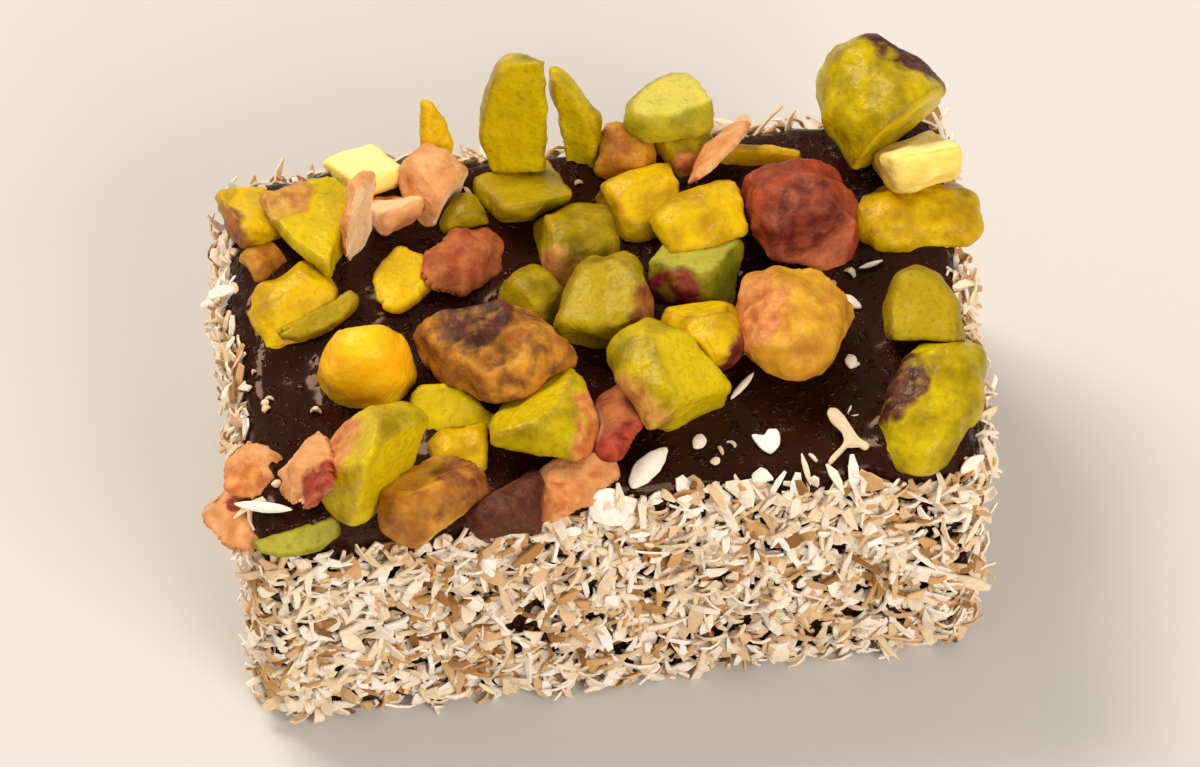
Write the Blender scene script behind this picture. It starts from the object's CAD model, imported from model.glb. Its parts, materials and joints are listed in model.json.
# %% [markdown]
# # A piece of dark Turkish delight
#
# Turkish delight is a starch jelly, cooked down with sugar and fruit juice, set in a tray and cut.
# This piece is nearly black, like one made with pomegranate. Its sides and base were rolled in
# desiccated coconut, and chopped pistachios were pressed into its top before it set.
#
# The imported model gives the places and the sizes: one solid for the jelly and one for each nut.
# The steps below dress those solids. Each one becomes a finer mesh of the same form, with the
# colours and the small relief that the real food has.

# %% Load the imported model
import json
import math

import bmesh
import bpy
import numpy as np
from mathutils import Matrix, Vector, noise
from mathutils.bvhtree import BVHTree

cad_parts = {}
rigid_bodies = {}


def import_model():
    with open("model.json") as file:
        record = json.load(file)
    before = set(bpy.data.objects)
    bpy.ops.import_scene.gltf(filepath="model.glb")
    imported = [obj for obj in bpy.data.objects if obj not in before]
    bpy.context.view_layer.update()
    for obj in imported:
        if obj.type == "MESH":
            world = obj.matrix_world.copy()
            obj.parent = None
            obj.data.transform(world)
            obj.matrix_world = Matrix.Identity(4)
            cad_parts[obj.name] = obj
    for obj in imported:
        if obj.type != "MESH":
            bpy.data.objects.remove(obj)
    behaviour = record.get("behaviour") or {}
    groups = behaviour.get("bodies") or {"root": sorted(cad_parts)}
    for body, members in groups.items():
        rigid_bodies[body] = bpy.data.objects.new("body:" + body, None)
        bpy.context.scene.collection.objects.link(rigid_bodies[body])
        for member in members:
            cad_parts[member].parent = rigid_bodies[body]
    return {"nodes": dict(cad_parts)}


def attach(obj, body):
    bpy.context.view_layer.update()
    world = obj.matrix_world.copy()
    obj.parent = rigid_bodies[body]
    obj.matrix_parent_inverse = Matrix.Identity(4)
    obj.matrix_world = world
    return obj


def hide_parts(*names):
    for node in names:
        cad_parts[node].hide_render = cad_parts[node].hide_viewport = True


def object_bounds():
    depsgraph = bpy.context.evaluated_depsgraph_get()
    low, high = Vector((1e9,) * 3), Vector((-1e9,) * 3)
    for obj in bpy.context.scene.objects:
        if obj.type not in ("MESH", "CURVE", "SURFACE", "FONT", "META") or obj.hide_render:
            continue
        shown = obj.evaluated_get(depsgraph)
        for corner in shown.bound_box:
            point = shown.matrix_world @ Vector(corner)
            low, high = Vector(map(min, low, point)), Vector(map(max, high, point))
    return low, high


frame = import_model()
cad_low, cad_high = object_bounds()
MM = 0.001
size = [round((cad_high[i] - cad_low[i]) / MM, 1) for i in range(3)]
print("packed model:", len(frame["nodes"]), "solids,", size, "mm")

# The middle of the jelly's flat base, which the block and the flakes are placed from.
jelly_node = frame["nodes"]["jelly_block"]
base = [v.co for v in jelly_node.data.vertices if v.co.z < 0.01 * MM]
BLOCK_MIDDLE = Vector(
    (
        (min(p.x for p in base) + max(p.x for p in base)) / 2,
        (min(p.y for p in base) + max(p.y for p in base)) / 2,
        0,
    )
)
print("the block stands", [round(c / MM, 2) for c in BLOCK_MIDDLE], "mm from the origin")

# %% [markdown]
# ## Three helpers
#
# Colours are written as sRGB hex values, as a colour picker shows them, and Blender's shaders
# want linear light, so one function turns one into the other. One function adds a node to any
# node tree, with its settings and what goes into its sockets. One function makes an object from
# points and faces.

# %% Helpers for colours, nodes and meshes
def linear(hex_colour):
    """An sRGB hex colour as linear red, green, blue and alpha."""
    channels = [int(hex_colour[i : i + 2], 16) / 255 for i in (1, 3, 5)]
    return (*[c / 12.92 if c <= 0.04045 else ((c + 0.055) / 1.055) ** 2.4 for c in channels], 1.0)


def add(tree, kind, inputs=None, **settings):
    """Adds one node. Each input is a value, or the socket of another node that feeds it."""
    node = tree.nodes.new(kind)
    for name, value in settings.items():
        setattr(node, name, value)
    for socket, value in (inputs or {}).items():
        if isinstance(value, bpy.types.NodeSocket):
            tree.links.new(value, node.inputs[socket])
        else:
            node.inputs[socket].default_value = value
    return node


def mesh_object(name, points, faces, material=None):
    """A mesh object of that name in the scene, at the origin."""
    mesh = bpy.data.meshes.new(name)
    mesh.from_pydata(points, [], faces)
    if material:
        mesh.materials.append(material)
    obj = bpy.data.objects.new(name, mesh)
    bpy.context.scene.collection.objects.link(obj)
    return obj


print("a mid grey of #808080 is", round(linear("#808080")[0], 3), "in linear light")

# %% [markdown]
# ## The camera
#
# The sweet is seen as someone bending over a table sees it, from well above and a little from
# its left. A long lens from far away keeps its edges nearly parallel.

# %% Camera
CAMERA_AZIMUTH = math.radians(-8)
CAMERA_ELEVATION = math.radians(51.5)
CAMERA_DISTANCE = 0.68
VIEW_WIDTH = 72 * MM
LOOK_AT = BLOCK_MIDDLE + Vector((0.1, 0, 12.5)) * MM

camera = bpy.data.objects.new("camera", bpy.data.cameras.new("camera"))
bpy.context.scene.collection.objects.link(camera)
bpy.context.scene.camera = camera
toward_camera = Vector(
    (
        math.sin(CAMERA_AZIMUTH) * math.cos(CAMERA_ELEVATION),
        -math.cos(CAMERA_AZIMUTH) * math.cos(CAMERA_ELEVATION),
        math.sin(CAMERA_ELEVATION),
    )
)
camera.location = LOOK_AT + toward_camera * CAMERA_DISTANCE
camera.rotation_euler = toward_camera.to_track_quat("Z", "Y").to_euler()
camera.data.sensor_width = 36
camera.data.lens = camera.data.sensor_width * CAMERA_DISTANCE / VIEW_WIDTH
camera.data.clip_start = 0.01
print("lens:", round(camera.data.lens), "mm")

# %% [markdown]
# ## Light and floor
#
# Soft studio light: a large lamp high at the back left gives the nuts and the sticky jelly their
# highlights, a weaker one at the front opens the shadows, and a pale world fills in the rest.
# The floor is plain and pale, so that nothing competes with the food.

# %% Lamps, world and floor
LAMPS = {
    "key_lamp": {"place": (-0.22, 0.30, 0.50), "size": 0.26, "power": 3.3, "colour": "#FFF6EA"},
    "front_lamp": {"place": (0.25, -0.55, 0.40), "size": 0.40, "power": 3.7, "colour": "#FFF9F2"},
}
WORLD_COLOUR = "#FFFBF5"
WORLD_STRENGTH = 0.5
FLOOR_COLOUR = "#CFCAC4"
FLOOR_REACH = 0.6

for name, lamp in LAMPS.items():
    light = bpy.data.lights.new(name, "AREA")
    light.size = lamp["size"]
    light.energy = lamp["power"]
    light.color = linear(lamp["colour"])[:3]
    obj = bpy.data.objects.new(name, light)
    obj.location = lamp["place"]
    obj.rotation_euler = (Vector(lamp["place"]) - LOOK_AT).to_track_quat("Z", "Y").to_euler()
    bpy.context.scene.collection.objects.link(obj)

world = bpy.data.worlds.new("pale_room")
world.use_nodes = True
world.node_tree.nodes["Background"].inputs["Color"].default_value = linear(WORLD_COLOUR)
world.node_tree.nodes["Background"].inputs["Strength"].default_value = WORLD_STRENGTH
bpy.context.scene.world = world
bpy.context.scene.view_settings.view_transform = "Standard"

paper_floor = bpy.data.materials.new("matte_paper_floor")
paper_floor.use_nodes = True
shader = paper_floor.node_tree.nodes["Principled BSDF"]
shader.inputs["Base Color"].default_value = linear(FLOOR_COLOUR)
shader.inputs["Roughness"].default_value = 0.9
shader.inputs["Specular IOR Level"].default_value = 0.1
corners = [(x * FLOOR_REACH, y * FLOOR_REACH, 0) for x, y in ((-1, -1), (1, -1), (1, 1), (-1, 1))]
floor = mesh_object("floor", corners, [(0, 1, 2, 3)], paper_floor)
print("lamps:", ", ".join(LAMPS))

# %% [markdown]
# ## The shape of the jelly
#
# A slab of jelly cut with a knife is nearly a box, but a soft one. Its edges are round, its ends
# slant a little, its base is narrower than its top and its faces bulge in slow lumps. A box with
# a bevel would look machined. Instead, every point of a finely divided cube is moved by a rule:
# a rounded box first, then the slant and the lumps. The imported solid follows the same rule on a
# coarse grid, so the fine one lies on it.

# %% The rule that shapes the block
BLOCK = Vector((43.4, 27.0, 18.8)) * MM
EDGE_RADIUS = 1.5 * MM
BASE_NARROWER = 0.045
END_SLANT = 0.04
LUMP_HEIGHT = 0.45 * MM
LUMP_SPACING = 7.0 * MM
BASE_KEPT_FLAT = 1.0 * MM
FOOT_INSET = 0.9 * MM
GRID_CROWDING = 1.7


def crowded(share):
    """Moves a grid line towards the nearest edge, where the rounding needs it."""
    return math.copysign(1 - (1 - abs(share)) ** GRID_CROWDING, share)


def block_point(corner):
    """A point of the 2 x 2 x 2 cube on the block, which stands on z = 0, and the way out there."""
    half = BLOCK / 2
    inner = half - Vector((EDGE_RADIUS,) * 3)
    flat = Vector(crowded(corner[i]) * half[i] for i in range(3))
    core = Vector(max(-inner[i], min(inner[i], flat[i])) for i in range(3))
    outward = (flat - core).normalized()
    point = core + outward * EDGE_RADIUS
    if corner.z == -1:
        foot = half - Vector((FOOT_INSET, FOOT_INSET, 0))
        point = Vector(crowded(corner[i]) * foot[i] for i in range(3))
    rise = (point.z + half.z) / BLOCK.z
    lump = noise.noise(point / LUMP_SPACING) * LUMP_HEIGHT
    point += outward * lump * min(1.0, rise * BLOCK.z / BASE_KEPT_FLAT)
    width = 1 - BASE_NARROWER * (1 - rise)
    point.x = point.x * width + END_SLANT * point.y
    point.y *= width
    point.z += half.z
    return point, outward


middle_of_top, _ = block_point(Vector((0, 0, 1)))
print("height at the middle:", round(middle_of_top.z / MM, 2), "mm")

# %% [markdown]
# The top of the jelly isn't smooth either: it set round the nuts, so it climbs a little up each
# of them, and it is dented and stringy between them. The distance to the nearest nut gives the
# climb, and two sizes of noise give the dents. The underside sits a little above the ground,
# because the piece lies on its coconut.

# %% The fine mesh of the jelly
FINE_CUTS = 88
COCONUT_UNDER = 0.35 * MM
CLIMB = 0.4 * MM
CLIMB_REACH = 0.5 * MM
DENT_SIZE = 2.6 * MM
DENT_DEPTH = 0.16 * MM
STRING_SIZE = 0.9 * MM
STRING_DEPTH = 0.1 * MM
# A point is on the top where the way out rises more steeply than this.
FACES_UP = 0.3

nut_names = sorted(name for name in frame["nodes"] if name.startswith("pistachio"))
heap = bmesh.new()
for name in nut_names:
    heap.from_mesh(frame["nodes"][name].data)
heap_tree = BVHTree.FromBMesh(heap)
heap.free()

bm = bmesh.new()
bmesh.ops.create_cube(bm, size=2.0)
bmesh.ops.subdivide_edges(bm, edges=bm.edges[:], cuts=FINE_CUTS, use_grid_fill=True)
for vert in bm.verts:
    point, outward = block_point(vert.co)
    point += BLOCK_MIDDLE
    dent = noise.noise(point / DENT_SIZE) * DENT_DEPTH + noise.noise(point / STRING_SIZE) * STRING_DEPTH
    point += outward * dent
    if outward.z > FACES_UP:
        distance = heap_tree.find_nearest(point)[3]
        point.z += CLIMB * math.exp(-distance / CLIMB_REACH) * outward.z
    point.z = max(point.z, COCONUT_UNDER)
    vert.co = point
bmesh.ops.recalc_face_normals(bm, faces=bm.faces[:])
jelly_mesh = bpy.data.meshes.new("dark_jelly")
bm.to_mesh(jelly_mesh)
bm.free()
jelly_mesh.shade_smooth()
jelly = bpy.data.objects.new("dark_jelly", jelly_mesh)
bpy.context.scene.collection.objects.link(jelly)
print("jelly:", len(jelly_mesh.polygons), "faces")

# %% [markdown]
# ## The finish of the jelly
#
# Pomegranate starch jelly, boiled until almost black. It is a clear, very dark red-brown right
# through, so the eye sees nearly no colour in it, only the wet gloss of its sticky skin. Light
# that gets in comes back red at the thin edges, which a little subsurface scattering gives. Small
# bumps, far apart, give the few bright glints that a sticky surface shows.

# %% Pomegranate jelly material
JELLY_DARK = "#1C0A05"
JELLY_RED = "#33140A"
JELLY_SHEEN = "#FFD8B8"
JELLY_CLOUD = 3.0 * MM
GLINT_SIZE = 0.6 * MM
GLINT_DEPTH = 0.16 * MM
# Only the peaks of the noise, between these two values, stand out as bumps.
GLINT_FROM, GLINT_TO = 0.56, 0.74

jelly_material = bpy.data.materials.new("pomegranate_starch_jelly")
jelly_material.use_nodes = True
tree = jelly_material.node_tree
shader = tree.nodes["Principled BSDF"]
place = add(tree, "ShaderNodeTexCoord").outputs["Object"]
clouds = add(tree, "ShaderNodeTexNoise", {"Vector": place, "Scale": 1 / JELLY_CLOUD, "Detail": 3.0})
colour = add(
    tree,
    "ShaderNodeMix",
    {0: clouds.outputs["Fac"], 6: linear(JELLY_DARK), 7: linear(JELLY_RED)},
    data_type="RGBA",
)
grain = add(tree, "ShaderNodeTexNoise", {"Vector": place, "Scale": 1 / GLINT_SIZE, "Detail": 2.0})
peaks = add(
    tree,
    "ShaderNodeMapRange",
    {"Value": grain.outputs["Fac"], "From Min": GLINT_FROM, "From Max": GLINT_TO},
)
relief = add(tree, "ShaderNodeBump", {"Height": peaks.outputs["Result"], "Distance": GLINT_DEPTH})
tree.links.new(colour.outputs[2], shader.inputs["Base Color"])
tree.links.new(relief.outputs["Normal"], shader.inputs["Normal"])
shader.inputs["Roughness"].default_value = 0.13
shader.inputs["Specular IOR Level"].default_value = 0.22
shader.inputs["Specular Tint"].default_value = linear(JELLY_SHEEN)
shader.inputs["IOR"].default_value = 1.45
shader.inputs["Subsurface Weight"].default_value = 0.3
shader.inputs["Subsurface Radius"].default_value = (1.0, 0.25, 0.1)
shader.inputs["Subsurface Scale"].default_value = 1.2 * MM
jelly.data.materials.append(jelly_material)

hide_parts("jelly_block")
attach(jelly, "root")
print("finish:", jelly_material.name)

# %% [markdown]
# ## The shape of the chopped pistachios
#
# A pistachio kernel is an oval seed in a thin papery skin, and it splits in two halves. Chopping
# leaves flat cut faces with crisp edges beside the wrinkled round outside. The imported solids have
# the places, sizes and cuts, but their outsides are made of facets. Sculpting 51 nuts by hand
# would be slow. Instead, a voxel remesh divides each solid into small even cells, finer where a
# piece is thin. Its facets are then relaxed away except on the cuts, and noise wrinkles it.

# %% Small cells, and which of them lie on a cut
CELL = 0.21 * MM
SMALLEST_CELL = CELL * 0.5
# A cell's share of a piece's mean thickness, at most.
CELL_SHARE = 0.13
# Faces are in one plane if they turn the same way and lie no further apart than this.
SAME_WAY = 0.999
SAME_PLANE = 0.02 * MM
# A plane with more of the surface than this is a cut.
CUT_SHARE = 0.12
JOIN_WITHIN = 0.001 * MM


def merged(node):
    """The node's mesh with its loose triangles joined."""
    bm = bmesh.new()
    bm.from_mesh(node.data)
    bmesh.ops.remove_doubles(bm, verts=bm.verts[:], dist=JOIN_WITHIN)
    bm.normal_update()
    return bm


def cut_faces(bm):
    """For each face, whether the plane that it lies in is large enough to be a knife's cut."""
    whole = sum(face.calc_area() for face in bm.faces)
    cuts = []
    for face in bm.faces:
        middle = face.calc_center_median()
        share = 0.0
        for other in bm.faces:
            away = abs((other.calc_center_median() - middle).dot(face.normal))
            if other.normal.dot(face.normal) > SAME_WAY and away < SAME_PLANE:
                share += other.calc_area() / whole
        cuts.append(share > CUT_SHARE)
    return cuts


def in_small_cells(name, bm):
    """The bmesh as an object whose faces are all about one cell wide."""
    mesh = bpy.data.meshes.new(name)
    bm.to_mesh(mesh)
    obj = bpy.data.objects.new(name, mesh)
    bpy.context.scene.collection.objects.link(obj)
    remesh = obj.modifiers.new("Cells", "REMESH")
    remesh.mode = "VOXEL"
    thickness = 2 * bm.calc_volume() / sum(face.calc_area() for face in bm.faces)
    remesh.voxel_size = min(CELL, max(thickness * CELL_SHARE, SMALLEST_CELL))
    graph = bpy.context.evaluated_depsgraph_get()
    obj.data = bpy.data.meshes.new_from_object(obj.evaluated_get(graph))
    obj.modifiers.clear()
    return obj


print("cells of", round(SMALLEST_CELL / MM, 2), "to", round(CELL / MM, 2), "mm")

# %% [markdown]
# A few rounds of smoothing over everything soften the cut edges to what a knife leaves in a soft
# nut. Many more rounds work on the outside alone and turn its facets into one round form. Both
# draw the surface in a little, so it is pushed out again. Then come slow lumps, the shallow scoops
# that a kernel chips in, with ridges between them, and sharp creases where the skin has dried.
# How far each point lies below its surroundings is kept too, for the dark lines in the creases.

# %% Smoothing and wrinkling
PULL = 0.5
EDGE_ROUNDS = 2
FACET_ROUNDS = 16
PUSH_OUT = 0.14 * MM
LUMP_WIDTH = 2.6 * MM
CHIP_WIDTH = 2.1 * MM
CHIP_DEPTH = 0.32 * MM
CHIP_LEVEL = 0.45
# Widths of the creases, and how deep each is as a share of the nut's wrinkles.
CREASES = ((2.4 * MM, 1.8), (0.9 * MM, 0.5))
CREASE_LEVEL = 0.2
CUT_WRINKLES = 0.5
HOLLOW_ROUNDS = 8
HOLLOW_DEPTH = 0.1 * MM
RIM_ROUNDS = 9


def relaxed(values, edges, pull, rounds):
    """Each value moves towards the mean of its neighbours by its pull, round after round."""
    count = np.bincount(edges.ravel(), minlength=len(values))[:, None]
    for _ in range(rounds):
        total = np.zeros_like(values)
        np.add.at(total, edges[:, 0], values[edges[:, 1]])
        np.add.at(total, edges[:, 1], values[edges[:, 0]])
        values = values + (total / count - values) * pull
    return values


def read_points(mesh, what="co"):
    """The points or the normals of a mesh's vertices, one row each."""
    rows = np.empty(len(mesh.vertices) * 3, np.float32)
    if what == "co":
        mesh.vertices.foreach_get("co", rows)
    else:
        mesh.vertex_normals.foreach_get("vector", rows)
    return rows.reshape(-1, 3).astype(float)


def shape_nut(obj, bm, wrinkles):
    """Rounds and wrinkles the nut. Returns its points, and how much each is on a cut and in a hollow."""
    mesh = obj.data
    tree = BVHTree.FromBMesh(bm)
    cuts = cut_faces(bm)
    points = read_points(mesh)
    edges = np.array([edge.vertices[:] for edge in mesh.edges])
    on_cut = np.array([[float(cuts[tree.find_nearest(p)[2]])] for p in points])
    held = relaxed(on_cut, edges, PULL, EDGE_ROUNDS)
    points = relaxed(points, edges, PULL, EDGE_ROUNDS)
    points = relaxed(points, edges, PULL * (1 - held), FACET_ROUNDS)
    mesh.vertices.foreach_set("co", points.ravel())
    mesh.update()
    outward = read_points(mesh, "normals")
    lumps = np.array([noise.noise(Vector(p) / LUMP_WIDTH) for p in points])
    creases = np.zeros(len(points))
    for width, share in CREASES:
        creases += [(CREASE_LEVEL - abs(noise.noise(Vector(p) / width))) * share for p in points]
    chips = np.array([noise.voronoi(Vector(p) / CHIP_WIDTH)[0][0] for p in points]) - CHIP_LEVEL
    relief = (lumps + creases)[:, None] * wrinkles * (1 - CUT_WRINKLES * held)
    points += outward * (relief + chips[:, None] * CHIP_DEPTH + PUSH_OUT)
    mesh.vertices.foreach_set("co", points.ravel())
    mesh.update()
    mesh.shade_smooth()
    around = relaxed(points, edges, PULL, HOLLOW_ROUNDS)
    in_hollow = ((around - points) * outward).sum(axis=1) / HOLLOW_DEPTH
    return points, relaxed(on_cut, edges, PULL, RIM_ROUNDS)[:, 0], np.clip(in_hollow, 0, 1)


print("relief:", len(CREASES), "widths of crease on lumps of", LUMP_WIDTH / MM, "mm")

# %% [markdown]
# ## The finish of the pistachios
#
# The flesh of a pistachio is green to golden yellow. A cut shows it: paler in the middle, deeper
# towards the outside, and then the cut edge of the skin as a thin brown line. It is oily, so it has
# a soft sheen, and a little light passes through it. The skin is a dry film, from tan to nearly
# black purple, that wrinkles and flakes off in scraps. One function makes a finish from a flesh and
# a skin. Three attributes of the mesh say where the cuts are, where skin clings and where the
# creases are, and noise breaks up the edges of the skin.

# %% One function for all the finishes
MOTTLE_WIDTH = 1.7 * MM
SPECK_WIDTH = 0.35 * MM
FLAKE_WIDTH = 1.1 * MM
FILM_WIDTH = 0.8 * MM
FILM_DEPTH = 0.08 * MM
VEIN_WIDTH = 0.4 * MM
VEIN_DEPTH = 0.09 * MM
SHEEN_COLOUR = "#FFEBB4"
# The rim of a cut is where the smoothed on_cut has this value.
RIM_AT = 0.4
CREASE_DARKNESS = 0.75


def pistachio_finish(name, flesh, deep, cut, skin, thin_skin, roughness):
    """Mottled flesh, paler on the cuts, dark in the creases, under scraps of skin."""
    material = bpy.data.materials.new(name)
    material.use_nodes = True
    tree = material.node_tree
    shader = tree.nodes["Principled BSDF"]
    place = add(tree, "ShaderNodeTexCoord").outputs["Object"]

    def read(attribute):
        """A socket with one of the mesh's attributes."""
        return add(tree, "ShaderNodeAttribute", attribute_name=attribute).outputs["Fac"]

    def blend(factor, first, second):
        """The colour socket of a mix of two colours, which are hex values or sockets."""
        inputs = {0: factor}
        for socket, value in ((6, first), (7, second)):
            inputs[socket] = linear(value) if isinstance(value, str) else value
        return add(tree, "ShaderNodeMix", inputs, data_type="RGBA").outputs[2]

    def between(value, low, high, to_low=0.0, to_high=1.0):
        """A socket that goes from one value to another while the given one goes from low to high."""
        inputs = {"Value": value, "From Min": low, "From Max": high, "To Min": to_low, "To Max": to_high}
        return add(tree, "ShaderNodeMapRange", inputs).outputs["Result"]

    def calculate(operation, first, second):
        """A socket with the result of one sum."""
        return add(tree, "ShaderNodeMath", {0: first, 1: second}, operation=operation).outputs["Value"]

    def grain(width, detail):
        """Noise of one width."""
        inputs = {"Vector": place, "Scale": 1 / width, "Detail": detail}
        return add(tree, "ShaderNodeTexNoise", inputs).outputs["Fac"]

    # Mottled flesh, paler on a cut, with small darker specks.
    outside = blend(between(grain(MOTTLE_WIDTH, 4.0), 0.36, 0.66), flesh, deep)
    body = blend(between(read("on_cut"), 0.5, 0.95, 0.0, 0.8), outside, cut)
    body = blend(between(grain(SPECK_WIDTH, 3.0), 0.52, 0.74, 0.0, 0.45), body, deep)

    # Scraps of skin with flaky edges, and the edge of the skin as a broken line round each cut.
    flakes = grain(FLAKE_WIDTH, 5.0)
    cover = between(calculate("SUBTRACT", read("has_skin"), flakes), -0.14, 0.16)
    off_rim = calculate("ABSOLUTE", calculate("SUBTRACT", read("on_cut"), RIM_AT), 0.0)
    rim = between(calculate("ADD", off_rim, calculate("MULTIPLY", flakes, 0.5)), 0.2, 0.42, 0.35, 0.0)
    creases = calculate("MULTIPLY", read("in_hollow"), CREASE_DARKNESS)

    # The skin is thick and thin by turns, and the flesh shows through in places.
    film = blend(between(grain(FILM_WIDTH, 5.0), 0.38, 0.64), skin, thin_skin)
    film = blend(between(grain(MOTTLE_WIDTH, 5.0), 0.56, 0.76, 0.0, 0.8), film, flesh)
    colour = blend(rim, body, thin_skin)
    colour = blend(cover, colour, film)
    colour = blend(creases, colour, skin)

    veins = add(tree, "ShaderNodeBump", {"Height": grain(VEIN_WIDTH, 4.0), "Distance": VEIN_DEPTH})
    inputs = {"Height": cover, "Distance": FILM_DEPTH, "Normal": veins.outputs["Normal"]}
    relief = add(tree, "ShaderNodeBump", inputs)
    tree.links.new(colour, shader.inputs["Base Color"])
    tree.links.new(relief.outputs["Normal"], shader.inputs["Normal"])
    shader.inputs["Roughness"].default_value = roughness
    shader.inputs["Specular IOR Level"].default_value = 0.3
    shader.inputs["Specular Tint"].default_value = linear(SHEEN_COLOUR)
    shader.inputs["Subsurface Weight"].default_value = 0.15
    shader.inputs["Subsurface Radius"].default_value = (1.0, 0.7, 0.1)
    shader.inputs["Subsurface Scale"].default_value = 0.7 * MM
    return material


print("sheen:", SHEEN_COLOUR)

# %% [markdown]
# The flesh is green in an unripe nut, golden in a ripe one and tan in a toasted one. A piece that is
# nearly all skin has flesh in a colour of skin. The skins go from tan through pink and crimson to a
# purple that is almost black.

# %% Flesh and skin colours
# Each flesh has its colour outside, its deeper mottling, a fresh cut, and its roughness.
FLESHES = {
    "green": ("#C2A800", "#8A7200", "#D2B608", 0.33),
    "leaf": ("#928C12", "#646408", "#B2A83C", 0.42),
    "lime": ("#B4A41C", "#868014", "#D4C658", 0.42),
    "olive": ("#A48A02", "#745E00", "#B0960A", 0.4),
    "golden": ("#D8B002", "#AE8402", "#E4BA10", 0.33),
    "orange": ("#FFC41A", "#FAB00C", "#FFCC3C", 0.32),
    "pale": ("#FCE27E", "#F0D05A", "#FEECA4", 0.42),
    "honey": ("#D6A02A", "#B4741A", "#E8BE4A", 0.42),
    "toasted": ("#C88A28", "#94541A", "#D8A032", 0.5),
    "blush": ("#E2A66E", "#C8824A", "#F2D0A6", 0.55),
    "brick": ("#B4683A", "#8A4426", "#D09C70", 0.6),
    "wine": ("#AE4A2C", "#7A2A1A", "#C8704A", 0.5),
    "maroon": ("#582418", "#3A120E", "#7E4630", 0.5),
}
# Each skin has its thick and its thin colour.
SKINS = {
    "tan": ("#A86A30", "#CC9448"),
    "pink": ("#BA6634", "#DC9656"),
    "brown": ("#6E3A1C", "#A0622C"),
    "crimson": ("#7C1A1C", "#A8422C"),
    "burgundy": ("#5E1C1A", "#8A3C2C"),
    "purple": ("#321416", "#643028"),
}
finishes = {}


def finish_of(flesh, skin):
    """The material of one flesh under one skin, which is made when it is first asked for."""
    if (flesh, skin) not in finishes:
        name = f"pistachio_{flesh}_flesh_{skin}_skin"
        outside, deep, cut, roughness = FLESHES[flesh]
        finishes[flesh, skin] = pistachio_finish(name, outside, deep, cut, *SKINS[skin], roughness)
    return finishes[flesh, skin]


print(len(FLESHES), "kinds of flesh and", len(SKINS), "of skin")

# %% [markdown]
# Each nut gets the flesh and the skin that it shows, how deep its wrinkles are, how much skin still
# clings to its outside, and for some of them the side where a larger patch of skin is left.

# %% What each nut looks like
# Flesh, skin, wrinkle depth in mm, share of skin, and the way towards its patch of skin.
NUT_LOOKS = {
    1: ("blush", "pink", 0.4, 0.45, (-0.5, -0.9, 0.2)),
    2: ("blush", "crimson", 0.4, 0.3, (0.5, -0.9, 0.2)),
    3: ("green", "pink", 0.2, 0.1, (-0.9, 0.3, 0.5)),
    4: ("leaf", "tan", 0.15, 0.25, None),
    5: ("toasted", "brown", 0.45, 0.45, (0.8, 0.2, 0.6)),
    6: ("maroon", "purple", 0.3, 0.45, None),
    7: ("blush", "pink", 0.35, 0.5, (-0.6, -0.8, 0.0)),
    8: ("orange", "tan", 0.08, 0.0, None),
    9: ("toasted", "purple", 0.4, 0.4, (-0.3, 0.45, 0.85)),
    10: ("green", "brown", 0.2, 0.2, None),
    11: ("golden", "tan", 0.15, 0.05, None),
    12: ("green", "pink", 0.15, 0.1, (0.9, -0.5, -0.1)),
    13: ("brick", "crimson", 0.3, 0.3, (0.2, -1.0, 0.0)),
    14: ("green", "tan", 0.18, 0.1, (-0.8, -0.8, -0.1)),
    15: ("golden", "burgundy", 0.15, 0.05, (0.9, -0.8, -0.1)),
    16: ("honey", "pink", 0.4, 0.25, (-0.8, 0.1, 0.6)),
    17: ("olive", "brown", 0.3, 0.25, (0.9, -0.5, 0.1)),
    18: ("olive", "brown", 0.2, 0.15, None),
    19: ("leaf", "burgundy", 0.2, 0.25, (-0.7, -0.9, 0.1)),
    20: ("golden", "tan", 0.12, 0.05, None),
    21: ("golden", "tan", 0.15, 0.15, None),
    22: ("wine", "burgundy", 0.4, 0.38, (0.0, -0.7, 0.6)),
    23: ("golden", "brown", 0.35, 0.3, None),
    24: ("pale", "tan", 0.12, 0.0, None),
    25: ("green", "purple", 0.2, 0.1, (0.8, 0.9, 0.5)),
    26: ("olive", "tan", 0.15, 0.05, None),
    27: ("green", "purple", 0.2, 0.1, (-0.8, 0.3, 0.5)),
    28: ("lime", "tan", 0.2, 0.1, None),
    29: ("blush", "pink", 0.2, 0.35, None),
    30: ("toasted", "tan", 0.25, 0.3, None),
    31: ("olive", "tan", 0.15, 0.1, None),
    32: ("green", "tan", 0.15, 0.1, None),
    33: ("green", "brown", 0.2, 0.2, None),
    34: ("golden", "tan", 0.15, 0.1, None),
    35: ("blush", "pink", 0.35, 0.35, None),
    36: ("blush", "pink", 0.3, 0.25, None),
    37: ("green", "tan", 0.2, 0.1, (-0.8, 0.7, 0.3)),
    38: ("golden", "brown", 0.25, 0.15, (-0.8, -0.6, 0.1)),
    39: ("pale", "tan", 0.15, 0.2, None),
    40: ("golden", "tan", 0.25, 0.2, None),
    41: ("olive", "brown", 0.15, 0.3, None),
    42: ("brick", "crimson", 0.35, 0.4, None),
    43: ("olive", "tan", 0.25, 0.25, (-0.6, -0.8, 0.0)),
    44: ("golden", "tan", 0.15, 0.1, None),
    45: ("golden", "tan", 0.15, 0.1, None),
    46: ("green", "pink", 0.2, 0.2, (0.0, -1.0, 0.0)),
    47: ("olive", "brown", 0.2, 0.2, None),
    48: ("toasted", "brown", 0.3, 0.45, None),
    49: ("brick", "purple", 0.3, 0.5, None),
    50: ("blush", "pink", 0.25, 0.05, None),
    51: ("blush", "crimson", 0.4, 0.15, (0.2, 0.6, 0.8)),
}
PATCH_FROM, PATCH_TO = 0.44, 0.92

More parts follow.
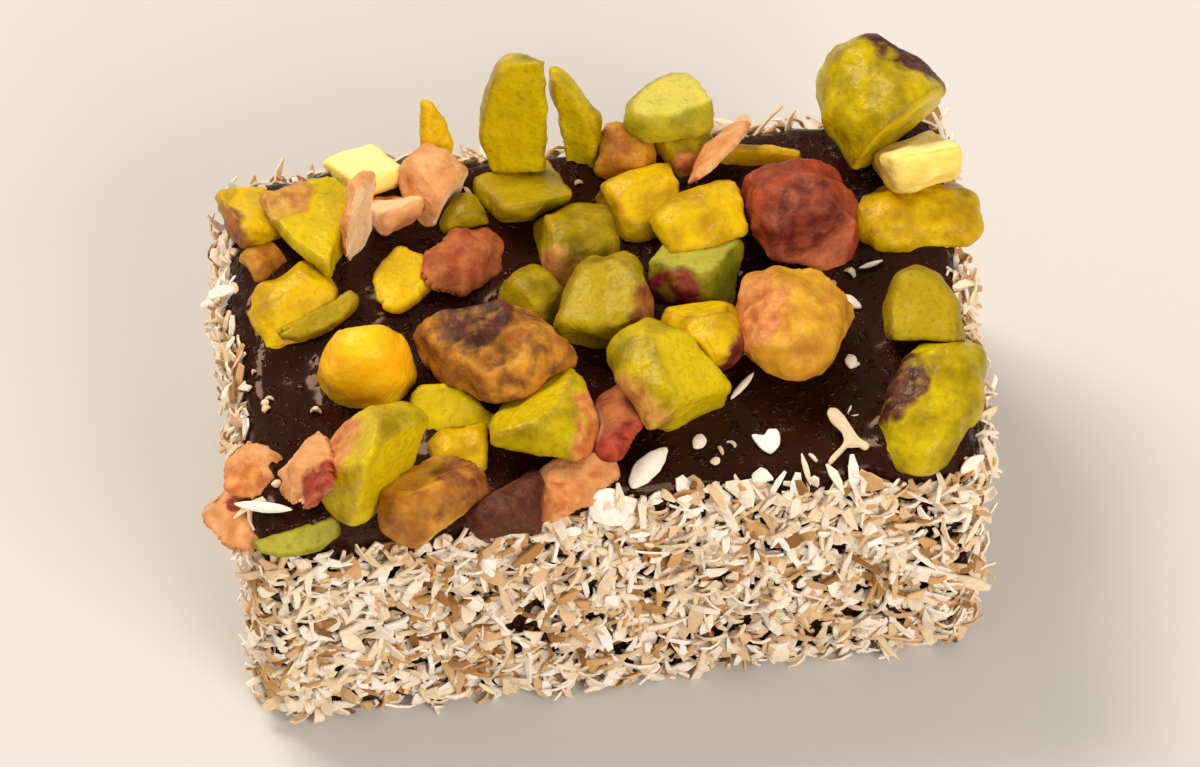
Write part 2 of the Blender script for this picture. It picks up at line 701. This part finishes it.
for name in nut_names:
    flesh, skin, depth, share, patch_side = NUT_LOOKS[int(name[-2:])]
    bm = merged(frame["nodes"][name])
    nut = in_small_cells("chopped_" + name, bm)
    points, on_cut, in_hollow = shape_nut(nut, bm, depth * MM)
    bm.free()
    has_skin = share * (1 - 0.8 * on_cut)
    if patch_side:
        ways = points - points.mean(axis=0)
        ways /= np.linalg.norm(ways, axis=1)[:, None]
        towards = ways @ np.array(Vector(patch_side).normalized())
        has_skin = np.maximum(has_skin, np.clip((towards - PATCH_FROM) / (PATCH_TO - PATCH_FROM), 0, 1))
    for attribute, values in (("on_cut", on_cut), ("has_skin", has_skin), ("in_hollow", in_hollow)):
        layer = nut.data.attributes.new(attribute, "FLOAT", "POINT")
        layer.data.foreach_set("value", values)
    nut.data.materials.clear()
    nut.data.materials.append(finish_of(flesh, skin))
    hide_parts(name)
    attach(nut, "root")
print(len(nut_names), "nuts,", len(finishes), "finishes,", len(nut.data.polygons), "faces on the last")

# %% [markdown]
# ## The shreds of coconut
#
# Desiccated coconut is the white flesh of the nut, grated and dried. Under a lens it is short
# flat shreds, some bent, some pointed, and now and then a broad flake. Eight of them are made
# here, one unit long and wide and thick, and the scatter gives each its real size. Each has only
# 28 triangles, because thousands of them lie on the block.

# %% Eight shreds
# Widths at four places along a shred, its bend in thicknesses, and how far its line swings aside.
SHREDS = {
    "straight_shred": ((0.5, 1.0, 0.9, 0.35), 0.6, 0.0),
    "bent_shred": ((0.4, 0.9, 1.0, 0.5), 2.4, 0.2),
    "pointed_shred": ((0.9, 0.8, 0.6, 0.12), 1.0, -0.15),
    "curled_shred": ((0.5, 0.9, 0.8, 0.4), -2.8, 0.35),
    "split_shred": ((0.25, 1.0, 0.7, 0.6), 1.6, -0.4),
    "thin_shred": ((0.3, 0.55, 0.5, 0.2), 1.8, 0.3),
    "broad_flake": ((0.7, 1.5, 1.6, 0.8), 1.2, 0.1),
    "leaf_flake": ((0.3, 1.5, 1.2, 0.2), 1.8, -0.1),
}


def shred_mesh(name, widths, bend, swing):
    """A closed strip along X from -0.5 to 0.5, with four corners at each of its four rings."""
    points, faces = [], []
    for ring, width in enumerate(widths):
        x = ring / 3 - 0.5
        aside = swing * (1 - 4 * x * x)
        rise = bend * (1 - 4 * x * x)
        for y, z in ((-0.5, -0.5), (0.5, -0.5), (0.5, 0.5), (-0.5, 0.5)):
            points.append((x, y * width + aside, z + rise))
    for ring in range(3):
        for corner in range(4):
            one, two = ring * 4 + corner, ring * 4 + (corner + 1) % 4
            faces.append((one, one + 4, two + 4, two))
    faces += [(0, 1, 2, 3), (15, 14, 13, 12)]
    return mesh_object(name, points, faces)


shred_shelf = bpy.data.collections.new("shred_shelf")
bpy.context.scene.collection.children.link(shred_shelf)
for name, (widths, bend, swing) in SHREDS.items():
    shred = shred_mesh(name, widths, bend, swing)
    bpy.context.scene.collection.objects.unlink(shred)
    shred_shelf.objects.link(shred)

# %% [markdown]
# ## The finish of the coconut
#
# Dried coconut flesh is cream white, dry and fibrous, so it scatters light softly and has next to
# no gloss. A shred lets some light through. Some shreds are beige, and a few carry a brown scrap
# of the kernel's rind. Each shred gets one tone from a number that the scatter stores on it, and
# faint fibres run over that.

# %% Desiccated coconut material
# Where on the scale of tones each colour stands.
COCONUT_TONES = ((0.0, "#80501C"), (0.08, "#CA985A"), (0.3, "#EBD0AA"), (1.0, "#FFF3E6"))
FIBRE_WIDTH = 0.3 * MM
FIBRE_SHADE = 0.86

coconut_material = bpy.data.materials.new("desiccated_coconut_flesh")
coconut_material.use_nodes = True
tree = coconut_material.node_tree
shader = tree.nodes["Principled BSDF"]
tone = add(tree, "ShaderNodeAttribute", attribute_name="tone")
ramp = add(tree, "ShaderNodeValToRGB", {"Fac": tone.outputs["Fac"]})
steps = ramp.color_ramp.elements
while len(steps) < len(COCONUT_TONES):
    steps.new(0.5)
for step, (where, hex_colour) in zip(steps, COCONUT_TONES):
    step.position = where
    step.color = linear(hex_colour)
place = add(tree, "ShaderNodeTexCoord").outputs["Object"]
fibres = add(tree, "ShaderNodeTexNoise", {"Vector": place, "Scale": 1 / FIBRE_WIDTH, "Detail": 2.0})
shade = add(
    tree,
    "ShaderNodeMapRange",
    {"Value": fibres.outputs["Fac"], "From Min": 0.3, "From Max": 0.7, "To Min": FIBRE_SHADE},
)
colour = add(
    tree,
    "ShaderNodeVectorMath",
    {0: ramp.outputs["Color"], "Scale": shade.outputs["Result"]},
    operation="SCALE",
)
tree.links.new(colour.outputs["Vector"], shader.inputs["Base Color"])
shader.inputs["Roughness"].default_value = 0.7
shader.inputs["Specular IOR Level"].default_value = 0.3
shader.inputs["Subsurface Weight"].default_value = 0.2
shader.inputs["Subsurface Radius"].default_value = (1.0, 0.7, 0.4)
shader.inputs["Subsurface Scale"].default_value = 0.4 * MM
print("tones:", len(COCONUT_TONES))

# %% [markdown]
# ## Where the coconut lies
#
# The sides were rolled in coconut before the nuts went on, so the coat ends in a ragged line
# under the top edge, and only specks lie on the top. Along the front that line drops towards both
# ends. None lies where a nut touches the side. The jelly's own mesh is the bed for the coat. Each
# of its points stores how much coconut lies there, and the scatter reads that.

# %% The bed and its attributes
COAT_ENDS_BELOW_TOP = 0.6 * MM
# Places along the front, and how much lower the coat ends there, both in mm.
FRONT_PLACES = (-22, -16, -9, -3, 2, 12, 16, 19, 21)
FRONT_DROPS = (1.6, 1.9, 1.3, 0.3, -0.4, 0.0, 0.5, 1.2, 0.6)
COAT_RAGGED = 0.9 * MM
RAGGED_SIZE = 1.6 * MM
COAT_FADE = 0.35 * MM
# Distances from a nut between which the coat begins.
CLEAR_OF_NUTS = (0.4 * MM, 1.1 * MM)
# Depths under the coat's border between which the fringe ends.
FRINGE_DEPTHS = (1.6 * MM, 0.6 * MM)
# Parts of a unit normal: how far it points forwards, up or down where each area fades in.
FACES_FRONT = (0.3, 0.8)
FACES_NOT_DOWN = (-0.7, -0.5)
FACES_NOT_UP = (-0.85, -0.6)
FACES_DOWN = (0.6, 0.8)
FACES_STRAIGHT_UP = (0.8, 0.9)


def ramped(value, low, high):
    """0 below low, 1 above high, and in between on a line."""
    return min(1.0, max(0.0, (value - low) / (high - low)))


bed = bpy.data.objects.new("coconut_bed", jelly.data.copy())
bpy.context.scene.collection.objects.link(bed)
top = BLOCK.z - COAT_ENDS_BELOW_TOP
amounts = {"side_coat": [], "rim_coat": [], "base_coat": [], "top_specks": []}
for vert in bed.data.vertices:
    point, out = vert.co, vert.normal
    border = top + noise.noise(point / RAGGED_SIZE) * COAT_RAGGED
    if point.y < BLOCK_MIDDLE.y:
        at_front = ramped(-out.y, *FACES_FRONT)
        border -= np.interp((point.x - BLOCK_MIDDLE.x) / MM, FRONT_PLACES, FRONT_DROPS) * MM * at_front
    clear = ramped(heap_tree.find_nearest(point)[3], *CLEAR_OF_NUTS)
    under = ramped(border - point.z, -COAT_FADE, COAT_FADE) * clear
    sideways = ramped(out.z, *FACES_NOT_DOWN) * ramped(-out.z, *FACES_NOT_UP)
    fringe = ramped(point.z, border - FRINGE_DEPTHS[0], border - FRINGE_DEPTHS[1])
    amounts["side_coat"].append(under * sideways)
    amounts["rim_coat"].append(under * sideways * fringe)
    amounts["base_coat"].append(ramped(-out.z, *FACES_DOWN))
    amounts["top_specks"].append(ramped(out.z, *FACES_STRAIGHT_UP))
for attribute, values in amounts.items():
    layer = bed.data.attributes.new(attribute, "FLOAT", "POINT")
    layer.data.foreach_set("value", values)
print({attribute: round(float(np.mean(values)), 2) for attribute, values in amounts.items()})

# %% [markdown]
# ## Scattering the shreds
#
# Thousands of shreds follow a surface, which is work for Geometry Nodes. The tree spreads points
# over the bed, sets a shred on each, lays it along the surface, rolls, lifts and turns it by
# chance, gives it a real length, width and thickness, and stores one random number as its tone.

# %% The scatter tree
ROLL = 0.7


def scatter_tree():
    """Builds the Geometry Nodes tree, and returns it with the identifier of each of its inputs."""
    tree = bpy.data.node_groups.new("scatter_shreds", "GeometryNodeTree")
    sockets = {"Geometry": "NodeSocketGeometry", "Where": "NodeSocketString"}
    for name in ("Density", "Shortest", "Longest", "Narrowest", "Widest", "Thickness"):
        sockets[name] = "NodeSocketFloat"
    for name in ("Lift low", "Lift high", "Sunk", "Raised"):
        sockets[name] = "NodeSocketFloat"
    sockets["Seed"] = "NodeSocketInt"
    keys = {}
    for name, kind in sockets.items():
        keys[name] = tree.interface.new_socket(name, in_out="INPUT", socket_type=kind).identifier
    tree.interface.new_socket("Geometry", in_out="OUTPUT", socket_type="NodeSocketGeometry")
    given = add(tree, "NodeGroupInput").outputs

    amount = add(tree, "GeometryNodeInputNamedAttribute", {"Name": given["Where"]})
    density = add(
        tree,
        "ShaderNodeMath",
        {0: amount.outputs["Attribute"], 1: given["Density"]},
        operation="MULTIPLY",
    )
    points = add(
        tree,
        "GeometryNodeDistributePointsOnFaces",
        {"Mesh": given["Geometry"], "Density": density.outputs["Value"], "Seed": given["Seed"]},
    )

    def chance(low, high, offset):
        """A random number between two values for each point."""
        seed = add(tree, "ShaderNodeMath", {0: given["Seed"], 1: float(offset)}, operation="ADD")
        inputs = {2: low, 3: high, "Seed": seed.outputs["Value"]}
        return add(tree, "FunctionNodeRandomValue", inputs).outputs[1]

    height = chance(given["Sunk"], given["Raised"], 1)
    moved = add(
        tree,
        "ShaderNodeVectorMath",
        {0: points.outputs["Normal"], "Scale": height},
        operation="SCALE",
    )
    placed = add(
        tree,
        "GeometryNodeSetPosition",
        {"Geometry": points.outputs["Points"], "Offset": moved.outputs["Vector"]},
    )
    turns = add(
        tree,
        "ShaderNodeCombineXYZ",
        {
            "X": chance(-ROLL, ROLL, 2),
            "Y": chance(given["Lift low"], given["Lift high"], 3),
            "Z": chance(0.0, 2 * math.pi, 4),
        },
    )
    turned = add(tree, "FunctionNodeEulerToRotation", {0: turns.outputs["Vector"]})
    rotation = add(
        tree,
        "FunctionNodeRotateRotation",
        {"Rotation": points.outputs["Rotation"], "Rotate By": turned.outputs["Rotation"]},
        rotation_space="LOCAL",
    )
    scale = add(
        tree,
        "ShaderNodeCombineXYZ",
        {
            "X": chance(given["Shortest"], given["Longest"], 5),
            "Y": chance(given["Narrowest"], given["Widest"], 6),
            "Z": given["Thickness"],
        },
    )
    shelf = add(
        tree,
        "GeometryNodeCollectionInfo",
        {"Collection": shred_shelf, "Separate Children": True, "Reset Children": True},
    )
    shreds = add(
        tree,
        "GeometryNodeInstanceOnPoints",
        {
            "Points": placed.outputs["Geometry"],
            "Instance": shelf.outputs["Instances"],
            "Pick Instance": True,
            "Rotation": rotation.outputs["Rotation"],
            "Scale": scale.outputs["Vector"],
        },
    )
    toned = add(
        tree,
        "GeometryNodeStoreNamedAttribute",
        {"Geometry": shreds.outputs["Instances"], "Name": "tone", "Value": chance(0.0, 1.0, 7)},
        data_type="FLOAT",
        domain="INSTANCE",
    )
    real = add(tree, "GeometryNodeRealizeInstances", {"Geometry": toned.outputs["Geometry"]})
    finished = add(
        tree,
        "GeometryNodeSetMaterial",
        {"Geometry": real.outputs["Geometry"], "Material": coconut_material},
    )
    add(tree, "NodeGroupOutput", {"Geometry": finished.outputs["Geometry"]})
    return tree, keys


scatter, scatter_keys = scatter_tree()
print("inputs:", ", ".join(scatter_keys))

# %% [markdown]
# The coat has layers, as a real one does. The first shreds are pressed flat into the sticky
# jelly, more lie loosely over them with one end up, and a fringe stands along the top edge. The
# base is pressed flat by the weight of the sweet. A few specks lie on the top.

# %% The layers of the coat
# Shreds per square millimetre, sizes in mm, lift in degrees, and how deep or high they lie in mm.
LAYERS = {
    "coconut_pressed_in": ("side_coat", 1.3, (0.8, 1.9), (0.4, 0.85), (-10, 10), (0.0, 0.12), 11),
    "coconut_bedded": ("side_coat", 1.3, (0.8, 2.1), (0.35, 0.8), (-30, 8), (0.1, 0.4), 66),
    "coconut_loose": ("side_coat", 1.2, (0.9, 2.6), (0.28, 0.7), (-55, 6), (0.3, 0.8), 22),
    "coconut_fringe": ("rim_coat", 0.9, (1.1, 2.4), (0.35, 0.8), (-75, -20), (0.2, 0.7), 33),
    "coconut_under_base": ("base_coat", 1.6, (1.0, 2.4), (0.4, 0.8), (-3, 3), (0.05, 0.2), 44),
    "coconut_specks": ("top_specks", 0.05, (0.3, 0.8), (0.25, 0.45), (-15, 5), (0.0, 0.1), 55),
}
SHRED_THICKNESS = 0.14 * MM


def lay_coconut(name, where, density, lengths, widths, lifts, heights, seed):
    """One layer of shreds as a plain mesh, with nothing below the ground."""
    obj = bpy.data.objects.new(name, bed.data.copy())
    bpy.context.scene.collection.objects.link(obj)
    modifier = obj.modifiers.new("Scatter", "NODES")
    modifier.node_group = scatter
    values = {
        "Where": where,
        "Density": density / MM**2,
        "Shortest": lengths[0] * MM,
        "Longest": lengths[1] * MM,
        "Narrowest": widths[0] * MM,
        "Widest": widths[1] * MM,
        "Thickness": SHRED_THICKNESS,
        "Lift low": math.radians(lifts[0]),
        "Lift high": math.radians(lifts[1]),
        "Sunk": heights[0] * MM,
        "Raised": heights[1] * MM,
        "Seed": seed,
    }
    for socket, value in values.items():
        modifier[scatter_keys[socket]] = value
    graph = bpy.context.evaluated_depsgraph_get()
    obj.data = bpy.data.meshes.new_from_object(obj.evaluated_get(graph))
    obj.modifiers.clear()
    points = read_points(obj.data)
    points[:, 2] = np.maximum(points[:, 2], 0)
    obj.data.vertices.foreach_set("co", points.ravel())
    obj.data.update()
    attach(obj, "root")
    return obj


for name, layer in LAYERS.items():
    coat = lay_coconut(name, *layer)

# %% [markdown]
# ## The flakes on the top
#
# A few larger flakes fell on the bare jelly, on the nuts at the front and on the front edge. Each
# has a shape of its own, so each kind is drawn by hand as an outline with rounded corners, given a
# thickness and a slight dish. A flake lies where a slanting ray from the front and above meets the
# jelly or a nut, and it leans back towards that ray.

# %% Outlines of the flakes
# Corners in shares of the flake's length, counterclockwise.
FLAKE_OUTLINES = {
    "round": [
        (-0.5, -0.1),
        (-0.3, -0.42),
        (0.1, -0.48),
        (0.42, -0.25),
        (0.5, 0.12),
        (0.2, 0.46),
        (-0.2, 0.42),
    ],
    "leaf": [
        (-0.5, -0.06),
        (-0.2, -0.17),
        (0.2, -0.15),
        (0.5, 0.04),
        (0.25, 0.2),
        (-0.1, 0.24),
        (-0.4, 0.12),
    ],
    "heart": [
        (0.45, -0.14),
        (0.45, 0.36),
        (0.14, 0.45),
        (-0.08, 0.26),
        (-0.5, 0.3),
        (-0.25, -0.2),
        (0.09, -0.45),
    ],
    "fork": [
        (0.38, -0.23),
        (0.21, -0.06),
        (0.06, 0.27),
        (-0.1, 0.5),
        (-0.27, 0.46),
        (-0.23, 0.27),
        (-0.06, 0.04),
        (-0.08, -0.17),
        (-0.35, -0.42),
        (-0.33, -0.5),
        (-0.1, -0.31),
        (0.1, -0.17),
        (0.27, -0.31),
    ],
    "strip": [(-0.5, -0.04), (-0.2, -0.1), (0.2, -0.08), (0.5, 0.02), (0.22, 0.08), (-0.2, 0.06)],
    "crumb": [(-0.5, 0.0), (-0.1, -0.4), (0.4, -0.3), (0.5, 0.2), (0.0, 0.4)],
}
FLAKE_THICKNESS = 0.28 * MM
# Each ring's size and its height, as shares of the outline and of the thickness.
FLAKE_RINGS = ((0.9, 0.0), (1.0, 0.5), (0.92, 1.0))
FLAKE_DISH = 0.15
RAGGED_EDGE = 0.07
RAGGED_STEPS = 9


def rounded(corners):
    """A closed curve through the corners, with four points to each of them."""
    curve = []
    for number in range(len(corners)):
        a, b, c, d = (Vector(corners[(number + step) % len(corners)]) for step in (-1, 0, 1, 2))
        for t in (0, 0.25, 0.5, 0.75):
            bend = (2 * a - 5 * b + 4 * c - d) * t * t + (3 * b - a - 3 * c + d) * t ** 3
            curve.append((2 * b + (c - a) * t + bend) / 2)
    return curve


def flake_in(bm, outline, length, place):
    """Adds one flake to the mesh, as rings of its outline from the underside to the top."""
    rings = []
    for size, height in FLAKE_RINGS:
        ring = []
        for point in rounded(FLAKE_OUTLINES[outline]):
            ragged = 1 + RAGGED_EDGE * noise.noise(Vector((*point, length / MM)) * RAGGED_STEPS)
            x, y = point * size * ragged * length
            dish = point.length_squared * FLAKE_DISH * length
            ring.append(bm.verts.new(place @ Vector((x, y, dish + height * FLAKE_THICKNESS))))
        rings.append(ring)
    bm.faces.new(rings[0][::-1])
    bm.faces.new(rings[-1])
    for lower, upper in zip(rings, rings[1:]):
        for corner in range(len(lower)):
            after = (corner + 1) % len(lower)
            bm.faces.new((lower[corner], lower[after], upper[after], upper[corner]))


print("outlines:", ", ".join(FLAKE_OUTLINES))

# %% Flakes laid by hand
# Place at the height of the top in mm, length in mm, turn in degrees as seen from the front,
# tone from 0 to 1, and the outline.
FLAKES = [
    (-1.3, -13.6, 2.5, 100, 1.0, "round"),
    (1.2, -11.5, 3.3, 38, 0.8, "leaf"),
    (4.4, -9.8, 1.0, 45, 0.7, "crumb"),
    (5.2, -11.3, 0.6, 0, 0.4, "crumb"),
    (8.4, -10.4, 1.7, 0, 1.0, "heart"),
    (7.5, -6.1, 2.3, 40, 0.6, "strip"),
    (10.5, -12.6, 2.0, 96, 0.5, "strip"),
    (13.1, -10.7, 3.5, 0, 0.28, "fork"),
    (15.0, -0.6, 1.5, -42, 0.8, "leaf"),
    (14.3, -5.1, 0.9, 80, 0.6, "crumb"),
    (16.6, 2.1, 1.6, 10, 0.8, "strip"),
    (-20.5, -3.3, 0.5, 0, 0.4, "crumb"),
    (-20.7, -9.4, 0.6, 0, 0.4, "crumb"),
    (-21.4, -11.1, 3.6, -18, 0.9, "strip"),
    (-8.1, -16.3, 2.5, 93, 1.0, "leaf"),
    (3.5, -13.5, 1.8, 60, 0.7, "leaf"),
    (20.3, -13.4, 1.8, 20, 0.9, "leaf"),
]
SIGHT = Vector((-0.087, 0.616, -0.783))
SIGHT_START = 40 * MM
# Each flake is raised by this share of its length.
FLAKE_RAISE = 0.1

ground = bmesh.new()
ground.from_mesh(jelly.data)
for name in nut_names:
    ground.from_mesh(bpy.data.objects["chopped_" + name].data)
ground_tree = BVHTree.FromBMesh(ground)
ground.free()

flakes = bmesh.new()
flake_tones = []
for x, y, length, turn, shade, outline in FLAKES:
    aim = Vector((BLOCK_MIDDLE.x + x * MM, BLOCK_MIDDLE.y + y * MM, top))
    hit, normal = ground_tree.ray_cast(aim - SIGHT * SIGHT_START, SIGHT)[:2]
    up = (normal - SIGHT).normalized()
    along = (Vector((1, 0, 0)) - up * up.x).normalized()
    lying = Matrix((along, up.cross(along), up)).transposed().to_4x4()
    lying = lying @ Matrix.Rotation(math.radians(turn), 4, "Z")
    raised = Matrix.Translation(hit + normal * length * FLAKE_RAISE * MM)
    flake_in(flakes, outline, length * MM, raised @ lying)
    flake_tones += [shade] * (len(flakes.verts) - len(flake_tones))
bmesh.ops.triangulate(flakes, faces=flakes.faces[:])
flake_mesh = bpy.data.meshes.new("coconut_flakes")
flakes.to_mesh(flake_mesh)
flakes.free()
tones = flake_mesh.attributes.new("tone", "FLOAT", "POINT")
tones.data.foreach_set("value", flake_tones)
flake_mesh.materials.append(coconut_material)
flake_mesh.shade_smooth()
flake_piece = bpy.data.objects.new("coconut_flakes", flake_mesh)
bpy.context.scene.collection.objects.link(flake_piece)
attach(flake_piece, "root")
print("flakes:", len(FLAKES))

# %% [markdown]
# ## Clearing up
#
# The bed and the shelf of shreds were only helpers, so they go. The two boxes are written down,
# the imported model's and the finished one's, and the last line checks every piece and writes the
# table of what rides on what.

# %% Clear up, measure and finish
for shred in list(shred_shelf.objects):
    bpy.data.objects.remove(shred)
bpy.data.collections.remove(shred_shelf)
bpy.data.objects.remove(bed)
bpy.context.view_layer.update()
